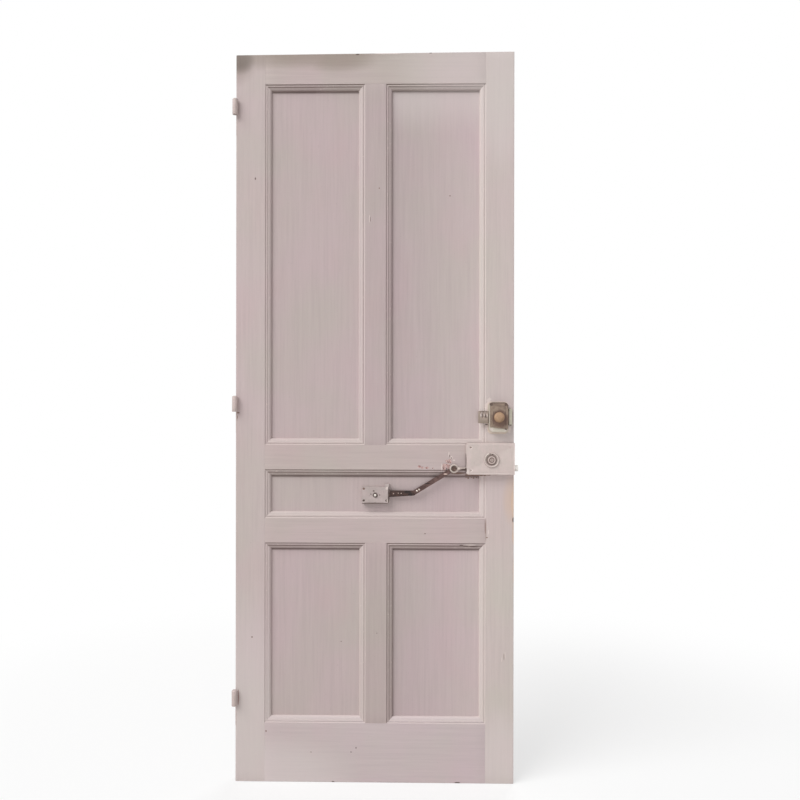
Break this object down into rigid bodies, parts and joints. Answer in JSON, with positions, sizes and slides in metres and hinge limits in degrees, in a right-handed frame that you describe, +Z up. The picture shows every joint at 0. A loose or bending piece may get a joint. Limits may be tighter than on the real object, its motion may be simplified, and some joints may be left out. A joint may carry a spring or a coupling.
{
  "type": "panelled front door",
  "caption": "Panelled timber front door leaf with lift-off hinge halves, rim lock, centre knob that draws the latch, and a night bolt.",
  "frame": {"origin": "middle of the leaf's bottom edge, halfway through its thickness", "axes": "+X from the hinges to the locks, +Y from the room side to the street side, +Z up"},
  "size_m": [0.819, 0.1398, 2.1],
  "materials": {
    "painted_wood": "old pale pinkish-grey oil paint with brush marks and chips",
    "painted_metal": "the door's paint, brushed thickly over steel",
    "steel": "bare steel, dulled and worn",
    "rusty_steel": "dark brown rusted strap iron",
    "dull_bronze": "bare grey-brown metal, paint worn off",
    "brass": "dull handled brass"
  },
  "bodies": {
    "leaf": {"hinge_stile": "painted_wood", "lock_stile": "painted_wood", "top_rail": "painted_wood", "lock_rail": "painted_wood", "middle_rail": "painted_wood", "bottom_rail": "painted_wood", "upper_muntin": "painted_wood", "lower_muntin": "painted_wood", "upper_left_panel": "painted_wood", "upper_right_panel": "painted_wood", "middle_panel": "painted_wood", "lower_left_panel": "painted_wood", "lower_right_panel": "painted_wood", "bottom_hinge": "painted_metal", "middle_hinge": "painted_metal", "top_hinge": "painted_metal", "hinge_screws": "painted_metal", "draw_base_plate": "painted_metal", "draw_cover": "painted_metal", "draw_screws": "painted_metal", "strap_guide": "painted_metal", "lock_case": "painted_metal", "lock_back_plate": "painted_metal", "lock_screws": "painted_metal", "cylinder_collar": "painted_metal", "night_base_plate": "painted_metal", "night_keeper": "painted_metal", "latch_spring": "steel", "lock_fixing_screws": "steel", "night_screws": "steel", "night_case": "dull_bronze", "street_rose": "brass", "street_cylinder_rose": "brass", "room_cylinder": "brass", "street_cylinder": "brass"},
    "draw_bar": {"lower_strap": "rusty_steel", "upper_strap": "rusty_steel", "strap_rivets": "steel", "eye_stud": "steel", "eye_rod": "painted_metal", "latch_bolt": "steel"},
    "centre_knob": {"spindle": "steel", "draw_crank": "steel", "spindle_nut": "steel", "street_knob": "brass"},
    "deadbolt": {"deadbolt": "steel"},
    "key_cylinder": {"cylinder_plug": "brass", "cylinder_cam": "steel"},
    "night_bolt": {"night_bar": "steel"},
    "night_bolt_knob": {"night_knob": "brass", "night_shaft": "steel", "night_crank": "steel"}
  },
  "joints": [
    {"name": "centre_knob_turn", "type": "hinge", "parent": "leaf", "child": "centre_knob", "pos_m": [0.0025, 0, 0.828], "axis": [0, -1, 0], "range_deg": [0, 43]},
    {"name": "latch_slide", "type": "slide", "parent": "leaf", "child": "draw_bar", "axis": [-1, 0, 0], "range_m": [0, 0.011], "stiffness_N_per_m": 600, "springref_m": -0.012},
    {"name": "deadbolt_slide", "type": "slide", "parent": "leaf", "child": "deadbolt", "axis": [1, 0, 0], "range_m": [0, 0.0195]},
    {"name": "key_turn", "type": "hinge", "parent": "leaf", "child": "key_cylinder", "pos_m": [0.3345, 0, 0.93], "axis": [0, 1, 0], "range_deg": [0, 70]},
    {"name": "night_bolt_slide", "type": "slide", "parent": "leaf", "child": "night_bolt", "axis": [1, 0, 0], "range_m": [0, 0.02185]},
    {"name": "night_bolt_knob_turn", "type": "hinge", "parent": "leaf", "child": "night_bolt_knob", "pos_m": [0.354, 0, 1.052], "axis": [0, 1, 0], "range_deg": [0, 80]}
  ],
  "couplings": [
    {"joint": "latch_slide", "follows": "centre_knob_turn", "m_per_rad": 0.01465},
    {"joint": "key_turn", "follows": "deadbolt_slide", "rad_per_m": 62.647},
    {"joint": "night_bolt_knob_turn", "follows": "night_bolt_slide", "rad_per_m": 63.888}
  ]
}
